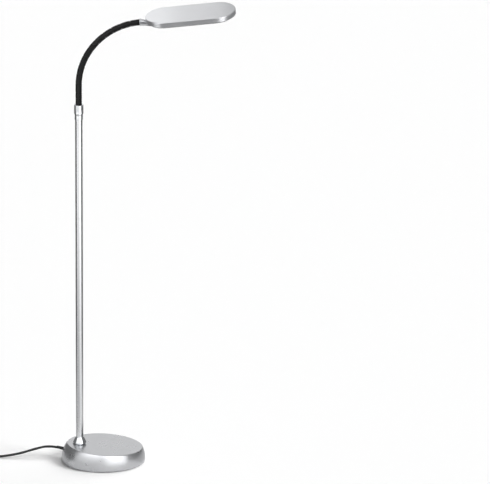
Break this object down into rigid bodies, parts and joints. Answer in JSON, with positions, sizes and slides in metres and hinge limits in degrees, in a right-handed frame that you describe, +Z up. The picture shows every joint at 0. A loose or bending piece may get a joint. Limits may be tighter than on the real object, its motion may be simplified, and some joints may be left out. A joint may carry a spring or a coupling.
{
  "type": "gooseneck floor lamp",
  "caption": "Floor lamp with a weighted oval base, a straight pole, a bendable ribbed neck and a flat round-ended light head with a push button.",
  "frame": {"origin": "middle of the base's underside, on the floor", "axes": "+Z up along the pole, +X along the base's long axis towards the head, +Y to the side away from the button's near side"},
  "size_m": [0.8558, 0.197, 1.4538],
  "materials": {
    "amber": "translucent",
    "black_hose": "ribbed, semi-matt",
    "black_rubber": "matt",
    "board": "coated",
    "brass": "plain",
    "cast_iron": "rough",
    "chrome": "polished",
    "collar_metal": "satin",
    "cord_sheath": "smooth",
    "dark_screw": "blackened",
    "diffuser": "milky, lit from inside",
    "led": "phosphor",
    "plug_plastic": "moulded",
    "pole_paint": "satin",
    "silver_paint": "satin",
    "silver_plastic": "satin silver",
    "white_plastic": "plain",
    "zinc_steel": "zinc plated"
  },
  "bodies": {
    "base": {"base_shell": "silver_paint", "base_weight": "cast_iron", "base_plate": "zinc_steel", "base_feet": "black_rubber", "base_screws": "zinc_steel", "pole_bell": "chrome", "base_stud": "zinc_steel", "stud_nut": "zinc_steel", "stud_washer": "zinc_steel", "pole_foot_plug": "zinc_steel", "cord_gland": "black_rubber", "inner_lead": "cord_sheath", "pole_lead": "cord_sheath", "pole_lower": "pole_paint", "pole_middle": "pole_paint", "pole_upper": "pole_paint", "lower_coupler": "zinc_steel", "upper_coupler": "zinc_steel", "pole_collar": "collar_metal", "neck_hose": "black_hose", "neck_lead": "cord_sheath", "cord_run": "cord_sheath", "cord_coil": "cord_sheath", "cord_tail": "cord_sheath", "cord_tie": "cord_sheath", "plug_body": "plug_plastic", "plug_blades": "brass"},
    "neck_01": {"neck_link_01": "black_hose"},
    "neck_02": {"neck_link_02": "black_hose"},
    "neck_03": {"neck_link_03": "black_hose"},
    "neck_04": {"neck_link_04": "black_hose"},
    "neck_05": {"neck_link_05": "black_hose"},
    "neck_06": {"neck_link_06": "black_hose"},
    "neck_07": {"neck_link_07": "black_hose"},
    "neck_08": {"neck_link_08": "black_hose"},
    "neck_09": {"neck_link_09": "black_hose"},
    "neck_10": {"neck_link_10": "black_hose"},
    "neck_11": {"neck_link_11": "black_hose", "neck_ferrule": "zinc_steel"},
    "head": {"head_knuckle": "silver_paint", "knuckle_set_screw": "dark_screw", "knuckle_screws": "zinc_steel", "head_bracket": "zinc_steel", "head_screws": "dark_screw", "lower_shell": "silver_plastic", "upper_shell": "silver_plastic", "diffuser": "diffuser", "reflector_frame": "white_plastic", "led_board": "board", "led_chips": "led", "board_screws": "zinc_steel", "control_board": "board", "tact_switch": "plug_plastic", "driver_module": "plug_plastic", "lead_connector": "white_plastic", "head_lead": "cord_sheath"},
    "button": {"button_cap": "amber", "switch_plunger": "white_plastic"}
  },
  "joints": [
    {"name": "neck_side", "type": "hinge", "parent": "base", "child": "neck_01", "pos_m": [-0.071, 0, 1.186], "axis": [1, 0, 0], "range_deg": [-11, 11], "deforming": ["neck_lead"]},
    {"name": "neck_bend", "type": "hinge", "parent": "neck_01", "child": "neck_02", "pos_m": [-0.07087, 0, 1.215], "axis": [0, 1, 0], "range_deg": [-12.2, 12.2], "deforming": ["neck_lead"]},
    {"name": "neck_bend_03", "type": "hinge", "parent": "neck_02", "child": "neck_03", "pos_m": [-0.06776, 0, 1.24381], "axis": [0, 1, 0], "range_deg": [-12.2, 12.2], "deforming": ["neck_lead"]},
    {"name": "neck_side_04", "type": "hinge", "parent": "neck_03", "child": "neck_04", "pos_m": [-0.06055, 0, 1.27187], "axis": [0.9482, 0, -0.3178], "range_deg": [-11, 11], "deforming": ["neck_lead"]},
    {"name": "neck_bend_05", "type": "hinge", "parent": "neck_04", "child": "neck_05", "pos_m": [-0.04939, 0, 1.29861], "axis": [0, 1, 0], "range_deg": [-12.2, 12.2], "deforming": ["neck_lead"]},
    {"name": "neck_bend_06", "type": "hinge", "parent": "neck_05", "child": "neck_06", "pos_m": [-0.03451, 0, 1.32347], "axis": [0, 1, 0], "range_deg": [-12.2, 12.2], "deforming": ["neck_lead"]},
    {"name": "neck_side_07", "type": "hinge", "parent": "neck_06", "child": "neck_07", "pos_m": [-0.01622, 0, 1.34595], "axis": [0.7283, 0, -0.6853], "range_deg": [-11, 11], "deforming": ["neck_lead"]},
    {"name": "neck_bend_08", "type": "hinge", "parent": "neck_07", "child": "neck_08", "pos_m": [0.0051, 0, 1.36557], "axis": [0, 1, 0], "range_deg": [-12.2, 12.2], "deforming": ["neck_lead"]},
    {"name": "neck_bend_09", "type": "hinge", "parent": "neck_08", "child": "neck_09", "pos_m": [0.02901, 0, 1.38193], "axis": [0, 1, 0], "range_deg": [-12.2, 12.2], "deforming": ["neck_lead"]},
    {"name": "neck_side_10", "type": "hinge", "parent": "neck_09", "child": "neck_10", "pos_m": [0.05502, 0, 1.3947], "axis": [0.3749, 0, -0.9271], "range_deg": [-11, 11], "deforming": ["neck_lead"]},
    {"name": "neck_bend_11", "type": "hinge", "parent": "neck_10", "child": "neck_11", "pos_m": [0.08259, 0, 1.4036], "axis": [0, 1, 0], "range_deg": [-12.2, 12.2], "deforming": ["neck_lead"]},
    {"name": "head_turn", "type": "hinge", "parent": "neck_11", "child": "head", "pos_m": [0.10988, 0, 1.40833], "axis": [0.9947, 0, 0.1028], "range_deg": [-90, 90]},
    {"name": "power_button", "type": "slide", "parent": "head", "child": "button", "axis": [-0.1026, -0.0558, 0.9932], "range_m": [0, 0.001], "stiffness_N_per_m": 800, "springref_m": -0.001}
  ]
}
